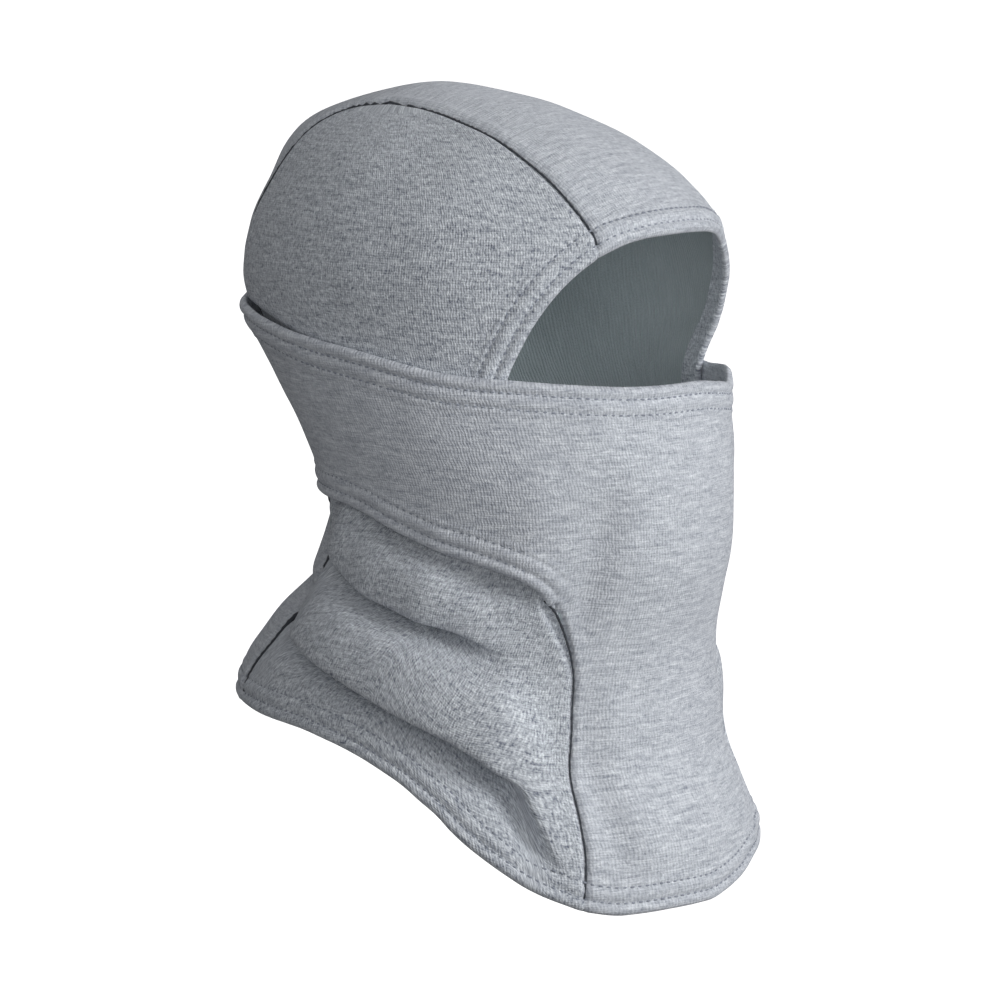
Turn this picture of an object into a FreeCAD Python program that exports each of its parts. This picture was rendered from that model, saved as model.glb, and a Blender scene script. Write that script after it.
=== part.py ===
import FreeCAD, Part
import os

# Knitted balaclava with a drop-down nose mask.
# Worn attitude: face toward -Y, crown toward +Z, the wearer's right hand is -X.
# All sizes in millimetres.  The lowest point of the front hem lies on Z = 0.

doc = FreeCAD.newDocument("balaclava")
sheet = doc.addObject("Spreadsheet::Sheet", "Sizes")

cell_no = [0]


def cell(alias, value):
    """One named size: column A holds the name, column B the plain number."""
    cell_no[0] += 1
    n = cell_no[0]
    sheet.set("A%d" % n, alias)
    sheet.set("B%d" % n, repr(float(value)))
    sheet.setAlias("B%d" % n, alias)


# cloth make-up
cell("knit_thick", 1.5)        # outer face of the bonded knit
cell("lining_thick", 1.0)      # brushed backing
cell("thread_proud", 0.5)      # how far a stitch row stands off the cloth
cell("thread_wide", 1.1)       # width of one stitch row
cell("seam_half", 0.5)         # half width of a sewn groove
cell("row_near", 4.5)          # first needle row, measured from the folded edge
cell("row_far", 10.5)          # second needle row
cell("dome_half_width", 81)
cell("dome_half_depth", 100)
cell("dome_height", 75)
cell("dome_base", 236)
cell("split_depth", 40)        # where the moving mask meets the nape loop

# Horizontal sections of the worn form: height, half width, front, back,
# extra offset of the hood and extra offset of the front tee panel.
rows = [
    (-14, 95.0, -106.8, 110.3, 0.0, 0.0),
    (6, 95.0, -106.4, 110.1, 0.0, 0.0),
    (21, 94.0, -104.5, 110.5, 0.0, 0.0),
    (36, 92.0, -97.5, 111.6, 0.0, 0.0),
    (56, 88.0, -89.8, 113.8, 0.0, 0.0),
    (76, 83.0, -87.9, 111.0, 0.0, 0.0),
    (96, 76.5, -88.0, 97.5, -0.5, 0.8),
    (116, 72.0, -91.0, 81.5, -1.2, 1.8),
    (136, 71.5, -94.0, 70.5, -1.5, 1.8),
    (156, 74.0, -94.0, 66.0, -2.2, 1.3),
    (176, 77.5, -91.5, 72.5, -2.2, 1.3),
    (196, 80.0, -90.6, 86.0, -2.2, 1.3),
    (216, 81.0, -90.8, 101.0, -1.0, 2.4),
    (236, 81.0, -91.3, 108.6, 0.0, 3.2),
]
dome = [
    (255.4, 78.2, -89.5, 105.8),
    (273.5, 70.1, -75.0, 98.2),
    (289.0, 57.3, -53.0, 91.0),
    (301.0, 40.5, -23.1, 75.7),
    (308.4, 20.0, 6.7, 46.9),
    (310.6, 6.0, 20.7, 32.9),
]
for k, r in enumerate(rows):
    cell("lev_%d" % k, r[0])
    cell("hw_%d" % k, r[1])
    cell("fr_%d" % k, r[2])
    cell("bk_%d" % k, r[3])
    cell("hood_%d" % k, r[4])
    cell("tee_%d" % k, r[5])
for k, r in enumerate(dome):
    cell("dlev_%d" % k, r[0])
    cell("dhw_%d" % k, r[1])
    cell("dfr_%d" % k, r[2])
    cell("dbk_%d" % k, r[3])
doc.recompute()


def ring(label, z, half, deep, mid):
    """One section ellipse, long axis front to back, every size an expression."""
    e = doc.addObject("Part::Ellipse", label)
    e.MajorRadius = 100
    e.MinorRadius = 50
    e.Placement = FreeCAD.Placement(FreeCAD.Vector(0, 0, 0),
                                    FreeCAD.Rotation(FreeCAD.Vector(0, 0, 1), 90))
    e.setExpression("MajorRadius", deep)
    e.setExpression("MinorRadius", half)
    e.setExpression("Placement.Base.y", mid)
    e.setExpression("Placement.Base.z", z)
    return e


def form(label, which, step, crown):
    """Solid of the worn form, offset by 'step' (an expression, negative = inward)."""
    sections = []
    for k in range(len(rows)):
        off = "(%s) + Sizes.%s_%d" % (step, which, k)
        sections.append(ring(
            "%s_s%d" % (label, k), "Sizes.lev_%d" % k,
            "Sizes.hw_%d + %s" % (k, off),
            "(Sizes.bk_%d - Sizes.fr_%d) / 2 + %s" % (k, k, off),
            "(Sizes.bk_%d + Sizes.fr_%d) / 2" % (k, k)))
    if crown:
        for k in range(len(dome)):
            sections.append(ring(
                "%s_d%d" % (label, k),
                "Sizes.dome_base + (Sizes.dlev_%d - Sizes.dome_base) * (1 + (%s) / Sizes.dome_height)" % (k, step),
                "Sizes.dhw_%d * (1 + (%s) / Sizes.dome_half_width)" % (k, step),
                "(Sizes.dbk_%d - Sizes.dfr_%d) / 2 * (1 + (%s) / Sizes.dome_half_depth)" % (k, k, step),
                "(Sizes.dbk_%d + Sizes.dfr_%d) / 2" % (k, k)))
    loft = doc.addObject("Part::Loft", label)
    loft.Sections = sections
    loft.Solid = True
    loft.Ruled = False
    loft.Closed = False
    return loft


hood_out = form("hood_out", "hood", "0", True)
hood_mid = form("hood_mid", "hood", "-Sizes.knit_thick", True)
hood_in = form("hood_in", "hood", "-Sizes.knit_thick - Sizes.lining_thick", True)
hood_thr = form("hood_thr", "hood", "Sizes.thread_proud", True)
tee_out = form("tee_out", "tee", "0", False)
tee_mid = form("tee_mid", "tee", "-Sizes.knit_thick", False)
tee_in = form("tee_in", "tee", "-Sizes.knit_thick - Sizes.lining_thick", False)
tee_thr = form("tee_thr", "tee", "Sizes.thread_proud", False)


def cut(label, a, b):
    o = doc.addObject("Part::Cut", label)
    o.Base = a
    o.Tool = b
    return o


def both(label, *parts):
    o = doc.addObject("Part::MultiCommon", label)
    o.Shapes = list(parts)
    return o


hood_shell = cut("hood_shell", hood_out, hood_mid)
hood_back = cut("hood_back", hood_mid, hood_in)
hood_skin = cut("hood_skin", hood_thr, hood_out)
tee_shell = cut("tee_shell", tee_out, tee_mid)
tee_back = cut("tee_back", tee_mid, tee_in)
tee_skin = cut("tee_skin", tee_thr, tee_out)

# ---- cutting profiles: PartDesign bodies padded from sketches ----------------


def origin_plane(body, role):
    for f in body.Origin.OriginFeatures:
        if f.Role == role:
            return f


def prism(label, role, pts, length, midplane=False, reverse=False):
    """A body padded from a closed outline; each corner is held by two sizes."""
    body = doc.addObject("PartDesign::Body", label)
    sk = body.newObject("Sketcher::SketchObject", label + "_outline")
    sk.AttachmentSupport = [(origin_plane(body, role), "")]
    sk.MapMode = "FlatFace"
    n = len(pts)
    geo = [Part.LineSegment(FreeCAD.Vector(pts[i][0], pts[i][1], 0),
                            FreeCAD.Vector(pts[(i + 1) % n][0], pts[(i + 1) % n][1], 0))
           for i in range(n)]
    sk.addGeometry(geo, False)
    import Sketcher
    cons = []
    for i in range(n):
        cons.append(Sketcher.Constraint("Coincident", i, 2, (i + 1) % n, 1))
    for i in range(n):
        cons.append(Sketcher.Constraint("DistanceX", -1, 1, i, 1, pts[i][0]))
        cons.append(Sketcher.Constraint("DistanceY", -1, 1, i, 1, pts[i][1]))
    sk.addConstraint(cons)
    pad = body.newObject("PartDesign::Pad", label + "_pad")
    pad.Profile = sk
    pad.Length = length
    pad.Midplane = midplane
    pad.Reversed = reverse
    body.Tip = pad
    return body


def mirrored(side):
    """Closed outline from the points of one side (half width, height), bottom up."""
    return [(w, z) for w, z in side] + [(-w, z) for w, z in reversed(side)]


def widen(side, d):
    return [(w + d, z) for w, z in side]


half = float(sheet.seam_half)
row_near = float(sheet.row_near)
row_far = float(sheet.row_far)
thread = float(sheet.thread_wide)

# lower hem, seen from the side: (depth, height)
hem_line = [(-150, 0.0), (-95, 0.2), (-86.6, 2.2), (-79, 6), (-69, 11.7), (-61, 17.3), (-53, 23),
            (-46, 28), (-39.6, 33), (-33.8, 38), (-26, 43), (-18, 48), (-8.4, 52.4), (3.3, 56.8),
            (18, 60.6), (38, 63.7), (67, 64.8), (96, 65.6), (150, 66)]
# upper and lower edges of the mask band
band_top = [(-150, 198), (-90, 199), (-78.5, 200.3), (-71, 201.2), (-55, 202.8), (-40, 203.9), (-26, 205.6),
            (-10, 208.6), (7, 211.6), (27, 214.2), (46.7, 217), (64.5, 220.3), (86, 224.2), (150, 230)]
band_low = [(-150, 119), (-62, 119), (-58.6, 124.5), (-52, 129.3), (-41, 132.8), (-26, 136.4), (-15, 139.5),
            (-3, 143.3), (9.3, 147.4), (26, 150.4), (41, 151), (150, 153)]
# seam between the crown strip and the side panels: (half width, height)
strip_front = [(41.5, 225), (41.5, 253), (42.3, 262), (42.0, 272), (41.6, 280), (40.6, 287.5),
               (38.6, 295), (36.4, 301), (36.0, 303.5), (36.0, 330)]
strip_rear = [(70, -30), (65, 65), (62, 90), (57.5, 107), (56, 120), (53, 150), (51, 200), (50, 240),
              (49.5, 276), (48.5, 284.5), (45, 292), (39.8, 299), (37, 302), (36.0, 303.5), (36.0, 330)]
# front seam between the bib and the side panels
bib_side = [(59.5, -30), (59.5, 3), (58.4, 18), (56.3, 36), (54.1, 55), (52.3, 74), (51, 87.5), (51.4, 96),
            (53.3, 106), (56, 119)]
# face opening of the hood, running on behind the mask
face_side = [(56, 118), (57.5, 126), (62, 146), (65, 170), (66, 185), (64.7, 203), (61.8, 217), (57.4, 229),
             (52.3, 239.3), (46.5, 245), (39.5, 249.6), (28.4, 254.2), (16, 256.2), (0.01, 256.8)]

above_hem = prism("above_hem", "YZ_Plane", hem_line + [(150, 340), (-150, 340)], 320, midplane=True)
band = prism("band_zone", "YZ_Plane", band_low + list(reversed(band_top)), 320, midplane=True)
strip_f_in = prism("strip_front_narrow", "XZ_Plane", mirrored(widen(strip_front, -half)), 150)
strip_f_out = prism("strip_front_wide", "XZ_Plane", mirrored(widen(strip_front, half)), 150)
strip_r_in = prism("strip_rear_narrow", "XZ_Plane", mirrored(widen(strip_rear, -half)), 150, reverse=True)
strip_r_out = prism("strip_rear_wide", "XZ_Plane", mirrored(widen(strip_rear, half)), 150, reverse=True)
bib_in = prism("bib_narrow", "XZ_Plane", mirrored(widen(bib_side, -half)), 150)
bib_out = prism("bib_wide", "XZ_Plane", mirrored(widen(bib_side, half)), 150)
face = prism("face_opening", "XZ_Plane", mirrored(face_side[:-1]), 150)


def fuse(label, *parts):
    o = doc.addObject("Part::MultiFuse", label)
    o.Shapes = list(parts)
    return o


def box(label, x0, x1, y0, y1, z0, z1):
    b = doc.addObject("Part::Box", label)
    b.Length, b.Width, b.Height = x1 - x0, y1 - y0, z1 - z0
    b.Placement.Base = FreeCAD.Vector(x0, y0, z0)
    return b


right_zone = box("right_zone", -200, 0, -200, 200, -40, 360)
left_zone = box("left_zone", 0, 200, -200, 200, -40, 360)
front_zone = box("front_zone", -200, 200, -200, 40, -40, 360)
front_zone.setExpression("Width", "200 + Sizes.split_depth")
rear_zone = box("rear_zone", -200, 200, 40, 200, -40, 360)
rear_zone.setExpression("Width", "200 - Sizes.split_depth")
rear_zone.setExpression("Placement.Base.y", "Sizes.split_depth")

strip_in = fuse("strip_narrow", strip_f_in, strip_r_in)
strip_out = fuse("strip_wide", strip_f_out, strip_r_out)
front_gap = fuse("front_gap", bib_out, face)

pieces = {}


def finish(name, obj):
    obj.Label = name
    pieces[name] = obj
    return obj


# hood: crown strip, two side panels, their linings
for tag, shell in (("knit", hood_shell), ("lining", hood_back)):
    trimmed = both("hood_%s_trim" % tag, shell, above_hem)
    open_face = cut("hood_%s_open" % tag, trimmed, front_gap)
    sides = cut("hood_%s_sides" % tag, open_face, strip_out)
    if tag == "knit":
        finish("centre_strip", both("n_centre_strip", open_face, strip_in))
        finish("side_panel_right", both("n_side_panel_right", sides, right_zone))
        finish("side_panel_left", both("n_side_panel_left", sides, left_zone))
        groove = cut("hood_groove", open_face, strip_in)
        groove2 = both("hood_groove_in", groove, strip_out)
        finish("crown_seam_right", both("n_crown_seam_right", groove2, right_zone))
        finish("crown_seam_left", both("n_crown_seam_left", groove2, left_zone))
    else:
        finish("centre_lining", both("n_centre_lining", open_face, strip_in))
        finish("side_lining_right", both("n_side_lining_right", sides, right_zone))
        finish("side_lining_left", both("n_side_lining_left", sides, left_zone))

# front tee panel: bib below, mask and wings above, nape loop behind
for tag, shell in (("knit", tee_shell), ("lining", tee_back)):
    trimmed = both("tee_%s_trim" % tag, shell, above_hem)
    bib = both("tee_%s_bib" % tag, trimmed, bib_in)
    zone = both("tee_%s_band" % tag, shell, band)
    if tag == "knit":
        finish("bib_panel", cut("n_bib_panel", bib, band))
        finish("mask_panel", both("n_mask_panel", zone, front_zone))
        finish("nape_loop", both("n_nape_loop", zone, rear_zone))
        seam = cut("bib_groove", both("tee_seam_zone", trimmed, bib_out), bib_in)
        low = cut("bib_groove_low", seam, band)
        finish("front_seam_right", both("n_front_seam_right", low, right_zone))
        finish("front_seam_left", both("n_front_seam_left", low, left_zone))
    else:
        finish("bib_lining", cut("n_bib_lining", bib, band))
        finish("mask_lining", both("n_mask_lining", zone, front_zone))
        finish("nape_lining", both("n_nape_lining", zone, rear_zone))


# twin-needle stitch rows, raised threads lying on the cloth
def strip_along(line, shift, wide):
    low = [(y, z + shift - wide / 2) for y, z in line]
    top = [(y, z + shift + wide / 2) for y, z in line]
    return low + list(reversed(top))


def gather(label, *parts):
    o = doc.addObject("Part::Compound", label)
    o.Links = list(parts)
    return o


front_right = box("front_right", -200, 0, -200, 40, -40, 360)
front_left = box("front_left", 0, 200, -200, 40, -40, 360)
for zone in (front_right, front_left):
    zone.setExpression("Width", "200 + Sizes.split_depth")

hood_side_skin = cut("hood_side_skin", hood_skin, front_gap)
hem_threads = []
for n, d in enumerate((row_near, row_far)):
    row = prism("hem_row_%d" % n, "YZ_Plane", strip_along(hem_line, d * 1.12, thread), 320, midplane=True)
    hem_threads.append(both("hem_thread_sides_%d" % n, hood_side_skin, row))
    hem_threads.append(both("hem_thread_bib_%d" % n, tee_skin, row, bib_in))
finish("bottom_hem_stitching", gather("n_bottom_hem_stitching", *hem_threads))

eye_rows = []
for n, d in enumerate((row_near, row_far)):
    def pushed(dd):
        out = []
        for w, z in face_side[:-1]:
            lift = max(0.0, min(1.0, (z - 215.0) / 36.0))
            out.append((w + dd * 0.62 * (1 - 0.25 * lift), z + dd * 1.0 * lift))
        return out
    outer = prism("eye_row_out_%d" % n, "XZ_Plane", mirrored(pushed(d + thread / 2)), 150)
    inner = prism("eye_row_in_%d" % n, "XZ_Plane", mirrored(pushed(d - thread / 2)), 150)
    eye_rows.append(cut("eye_row_%d" % n, outer, inner))
eye_row_set = fuse("eye_row_set", *eye_rows)
above_seam = box("above_seam", -200, 200, -200, 200, 130, 360)
finish("eye_hem_stitching", both("n_eye_hem_stitching", hood_skin, eye_row_set, above_seam))

wing_edge = band_low[3:]
top_front, low_right, low_left, nape_threads = [], [], [], []
for n, d in enumerate((row_near, row_far)):
    top = prism("mask_top_row_%d" % n, "YZ_Plane", strip_along(band_top, -d, thread), 320, midplane=True)
    low = prism("wing_row_%d" % n, "YZ_Plane", strip_along(wing_edge, d, thread), 320, midplane=True)
    top_front.append(both("mask_top_thread_%d" % n, tee_skin, top, front_zone))
    low_right.append(both("wing_thread_right_%d" % n, tee_skin, low, front_right))
    low_left.append(both("wing_thread_left_%d" % n, tee_skin, low, front_left))
    nape_threads.append(both("nape_thread_top_%d" % n, tee_skin, top, rear_zone))
    nape_threads.append(both("nape_thread_low_%d" % n, tee_skin, low, rear_zone))
finish("mask_top_stitching", gather("n_mask_top_stitching", *top_front))
finish("wing_hem_stitching_right", gather("n_wing_hem_stitching_right", *low_right))
finish("wing_hem_stitching_left", gather("n_wing_hem_stitching_left", *low_left))
finish("nape_loop_stitching", gather("n_nape_loop_stitching", *nape_threads))

doc.recompute()

bad = []
for o in doc.Objects:
    if "Invalid" in o.State or "Error" in o.State:
        bad.append(o.Name)
for name, o in pieces.items():
    if o.Shape.isNull() or not o.Shape.isValid() or o.Shape.Volume <= 0:
        bad.append(name)
if bad:
    raise SystemExit("not sound: " + ", ".join(bad))

os.makedirs("parts", exist_ok=True)
for name, o in pieces.items():
    o.Shape.exportStep("parts/%s.step" % name)
    bb = o.Shape.BoundBox
    print("%-26s solids %d  vol %.0f  size %.1f %.1f %.1f" % (
        name, len(o.Shape.Solids), o.Shape.Volume, bb.XLength, bb.YLength, bb.ZLength))
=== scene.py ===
import bpy, bmesh, math
import numpy as np
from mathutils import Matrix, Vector, kdtree


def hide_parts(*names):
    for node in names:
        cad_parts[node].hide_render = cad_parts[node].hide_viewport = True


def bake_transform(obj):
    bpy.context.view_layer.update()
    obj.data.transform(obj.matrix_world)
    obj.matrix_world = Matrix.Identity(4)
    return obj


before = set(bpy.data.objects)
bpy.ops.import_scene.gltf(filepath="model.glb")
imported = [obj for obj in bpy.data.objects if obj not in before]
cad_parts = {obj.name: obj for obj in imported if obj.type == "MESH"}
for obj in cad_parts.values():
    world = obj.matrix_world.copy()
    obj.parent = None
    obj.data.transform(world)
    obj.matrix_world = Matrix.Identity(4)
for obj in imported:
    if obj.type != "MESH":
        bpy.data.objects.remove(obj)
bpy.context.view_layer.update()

MM = 0.001
rng = np.random.default_rng(7)

# ------------------------------------------------------------------ worn form
# height, half width, front, back, hood offset, tee offset (millimetres)
ROWS = [
    (-30, 95.0, -106.8, 110.3, 0.0, 0.0), (-14, 95.0, -106.8, 110.3, 0.0, 0.0),
    (6, 95.0, -106.4, 110.1, 0.0, 0.0), (21, 94.0, -105.0, 110.5, 0.0, 0.0),
    (36, 92.0, -99.0, 111.6, 0.0, 0.0), (56, 88.0, -89.8, 113.8, 0.0, 0.0),
    (76, 83.0, -87.9, 111.0, 0.0, 0.0), (96, 76.5, -88.0, 97.5, -0.5, 0.8),
    (116, 72.0, -91.5, 79.0, -1.2, 1.8), (136, 72.0, -95.2, 70.5, -1.5, 1.8),
    (156, 75.0, -95.6, 68.5, -2.2, 1.3), (176, 78.2, -93.2, 76.0, -2.2, 1.3),
    (196, 80.0, -90.6, 89.5, -2.2, 1.3), (216, 81.0, -90.8, 101.5, -1.0, 2.4),
    (236, 81.0, -91.3, 108.6, 0.0, 3.2), (255.4, 78.2, -89.5, 105.8, 0.0, 3.2),
    (273.5, 70.1, -75.0, 98.2, 0.0, 3.2), (289.0, 57.3, -53.0, 91.0, 0.0, 3.2),
    (301.0, 40.5, -23.1, 75.7, 0.0, 3.2), (308.4, 20.6, 5.5, 49.5, 0.0, 3.2),
    (311.0, 0.01, 27.4, 27.5, 0.0, 3.2)]
NEXP = 2.1


def pchip(xs, ys, x):
    """Shape-keeping cubic through (xs, ys)."""
    xs, ys = np.asarray(xs, float), np.asarray(ys, float)
    h = np.diff(xs)
    d = np.diff(ys) / h
    m = np.zeros(len(xs))
    for i in range(1, len(xs) - 1):
        if d[i - 1] * d[i] > 0:
            w1, w2 = 2 * h[i] + h[i - 1], h[i] + 2 * h[i - 1]
            m[i] = (w1 + w2) / (w1 / d[i - 1] + w2 / d[i])
    m[0], m[-1] = d[0], d[-1]
    x = np.clip(np.asarray(x, float), xs[0], xs[-1])
    k = np.clip(np.searchsorted(xs, x, side="right") - 1, 0, len(xs) - 2)
    t = (x - xs[k]) / h[k]
    t2, t3 = t * t, t * t * t
    return ((2 * t3 - 3 * t2 + 1) * ys[k] + (t3 - 2 * t2 + t) * h[k] * m[k]
            + (-2 * t3 + 3 * t2) * ys[k + 1] + (t3 - t2) * h[k] * m[k + 1])


_R = np.array(ROWS)
_Z = np.linspace(-30, 311, 3411)
_A2 = pchip(_R[:, 0], _R[:, 1] ** 2, _Z)
_B2 = pchip(_R[:, 0], ((_R[:, 3] - _R[:, 2]) / 2) ** 2, _Z)
_C = pchip(_R[:, 0], (_R[:, 3] + _R[:, 2]) / 2, _Z)
_H = pchip(_R[:, 0], _R[:, 4], _Z)
_T = pchip(_R[:, 0], _R[:, 5], _Z)
# soften the joins between the measured levels
for _arr in (_A2, _B2, _C):
    k = np.hanning(161)
    k /= k.sum()
    lowpart = _Z < 232
    sm = np.convolve(np.pad(_arr, 80, mode="edge"), k, mode="valid")
    mixw = np.clip((236 - _Z) / 14, 0, 1)
    _arr[:] = _arr * (1 - mixw) + sm * mixw


def dims(z, kind="hood"):
    """half width, half depth and middle depth of the form at height z."""
    off = np.interp(z, _Z, _H if kind == "hood" else _T)
    a = np.sqrt(np.maximum(np.interp(z, _Z, _A2), 1e-4)) + off
    b = np.sqrt(np.maximum(np.interp(z, _Z, _B2), 1e-4)) + off
    return a, b, np.interp(z, _Z, _C)


def on_form(phi, z, kind="hood"):
    """Point at turn phi (0 = face, pi/2 = left ear, pi = nape) and height z."""
    a, b, c = dims(z, kind)
    s, k = np.sin(phi), np.cos(phi)
    x = a * np.sign(s) * np.abs(s) ** (2 / NEXP)
    y = c - b * np.sign(k) * np.abs(k) ** (2 / NEXP)
    return np.stack([x, y, np.broadcast_to(z, np.shape(x))], -1)


def phi_of_x(x, z, kind="hood"):
    a, _, _ = dims(z, kind)
    return np.arcsin(np.clip(np.abs(x) / a, 0, 1) ** (NEXP / 2))


# ------------------------------------------------------------- pattern curves
HEM = np.array([(-150, 0.0), (-95, 0.2), (-86.6, 2.2), (-79, 6), (-69, 11.7), (-61, 17.3), (-53, 23),
                (-46, 28), (-39.6, 33), (-33.8, 38), (-26, 43), (-18, 48), (-8.4, 52.4), (3.3, 56.8),
                (18, 60.6), (38, 63.7), (67, 64.8), (96, 65.6), (150, 66)], float)
BAND_TOP = np.array([(-150, 198), (-90, 199), (-78.5, 200.3), (-71, 201.2), (-55, 202.8), (-40, 203.9),
                     (-26, 205.6), (-10, 208.6), (7, 211.6), (27, 214.2), (46.7, 217), (64.5, 220.3),
                     (86, 224.2), (150, 230)], float)
BAND_LOW = np.array([(-65.0, 117), (-64.2, 120.2), (-62, 123.8), (-58, 127), (-52, 129.6), (-41, 132.8), (-26, 136.4), (-15, 139.5),
                     (-3, 143.3), (9.3, 147.4), (26, 150.4), (41, 151), (150, 153)], float)
STRIP_F = np.array([(225, 41.5), (253, 41.5), (262, 42.3), (272, 42.0), (280, 41.6), (287.5, 40.6),
                    (295, 38.6), (301, 36.6), (303.5, 36.0), (312, 36.0)], float)
STRIP_R = np.array([(-30, 70), (65, 65), (90, 62), (107, 57.5), (120, 56), (150, 53), (200, 51), (240, 50),
                    (276, 49.5), (284.5, 48.5), (292, 45), (299, 39.8), (302, 37), (303.5, 36.0),
                    (312, 36.0)], float)
BIB = np.array([(-30, 59.5), (3, 59.5), (18, 58.0), (36, 55.2), (55, 51.8), (74, 48.6), (87.5, 47.2), (96, 48.2),
                (106, 50.8), (117, 54.6), (125, 57)], float)
FACE = np.array([(117, 56.0), (126, 57.5), (146, 62), (170, 65), (185, 66), (203, 64.7), (217, 61.8),
                 (229, 57.6), (239.0, 51.8), (244.4, 46.9), (248.7, 41.5)], float)
BROW = np.array([(0, 256.8), (16, 256.2), (28.4, 254.3), (35, 252.0), (41.5, 248.7), (48, 243.4), (60, 230)], float)
TIP_Z = 303.5
CORNER_Z = 117.0


def smooth(a, b, x):
    t = np.clip((x - a) / (b - a), 0, 1)
    return t * t * (3 - 2 * t)


def bump(x, c, w):
    return np.exp(-((x - c) / w) ** 2)


def curve(tab, x):
    return pchip(tab[:, 0], tab[:, 1], x)


RISE = np.array([(-200, 0), (-6, 0.0), (3, 1.3), (17, 4.0), (39, 9.5), (60, 10.0), (76, 6.0), (92, 0.0), (200, 0)], float)


def hem_z(y, x=0):
    """Lower hem; it rides a little higher at the wearer's left in front."""
    return curve(HEM, y) + curve(RISE, x) * (1 - smooth(-72, -34, y))


DROOP = np.array([(-200, 0), (2, 0.0), (25, 2.2), (40, 4.6), (46, 3.6), (53, 2.0), (62, 3.4), (68, 4.6), (200, 4.6)], float)


def band_top_z(y, x=0):
    """Upper edge of the mask; it droops a little on the wearer's left."""
    return curve(BAND_TOP, y) - curve(DROOP, x) * (1 - smooth(-45, 10, y))


def strip_half(z):
    return curve(STRIP_R, z)


def band_low_z(y, x=0):
    return curve(BAND_LOW, np.maximum(y, -65))


def brow_z(x):
    return curve(BROW, np.abs(x))


def settle(phi, zfun, z0, kind="hood"):
    """Height where z = zfun(y, x) on the form, column by column."""
    z = np.full(np.shape(phi), float(z0))
    for _ in range(40):
        p = on_form(phi, z, kind)
        z = 0.5 * z + 0.5 * zfun(p[..., 1], p[..., 0])
    return z


def graded(n, lo=0.35, hi=1.0, both=True):
    """n + 1 values from 0 to 1, closer together at the ends."""
    t = np.linspace(0, 1, n + 1)
    dens = lo + (hi - lo) * (np.sin(np.pi * t) if both else np.sin(np.pi / 2 * t)) ** 0.7
    c = np.concatenate([[0], np.cumsum((dens[1:] + dens[:-1]) / 2)])
    return c / c[-1]


def grid_quads(nr, nc, wrap=False):
    i = np.arange(nr - 1)[:, None]
    j = np.arange(nc if wrap else nc - 1)[None, :]
    j2 = (j + 1) % nc
    q = np.stack([i * nc + j, i * nc + j2, (i + 1) * nc + j2, (i + 1) * nc + j], -1)
    return q.reshape(-1, 4)


def arc(P, axis):
    """Running length along an axis of a grid of points."""
    d = np.linalg.norm(np.diff(P, axis=axis), axis=-1)
    z = np.zeros_like(np.take(d, [0], axis=axis))
    return np.concatenate([z, np.cumsum(d, axis=axis)], axis=axis)


_tp = np.linspace(-math.pi, math.pi, 1441)
_tr = on_form(_tp, np.full_like(_tp, 150.0))
_tl = np.concatenate([[0], np.cumsum(np.linalg.norm(np.diff(_tr, axis=0), axis=1))])
_tl -= np.interp(0.0, _tp, _tl)


def turn_length(P):
    """Length round the form from the middle of the face, at neck level."""
    a, b, c = dims(P[:, 2])
    s = np.sign(P[:, 0]) * np.abs(np.clip(P[:, 0] / a, -1, 1)) ** (NEXP / 2)
    k = -np.sign(P[:, 1] - c) * np.abs(np.clip((P[:, 1] - c) / b, -1, 1)) ** (NEXP / 2)
    return np.interp(np.arctan2(s, k), _tp, _tl)


class Skin:
    """A panel's base surface: points, quads, cloth coordinates in mm."""

    def __init__(self, P, Q, UV, grid=None, first=None):
        self.P, self.Q, self.UV, self.grid, self.first = P, Q, UV, grid, first


def weld(P, Q, UV, tol=1e-3):
    key = np.round(P / tol).astype(np.int64)
    _, first, inv = np.unique(key, axis=0, return_index=True, return_inverse=True)
    inv = inv.ravel()
    weld.first, weld.inv = first, inv
    return P[first], inv[Q], UV[first]


# --- side panel (built for the wearer's left, +X; mirrored for the right) ----
_vz = np.linspace(0, 300, 601)
_va = np.sqrt(np.interp(_vz, _Z, _A2))
_vlen = np.concatenate([[0], np.cumsum(np.hypot(np.diff(_vz), np.diff(_va)))])


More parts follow.
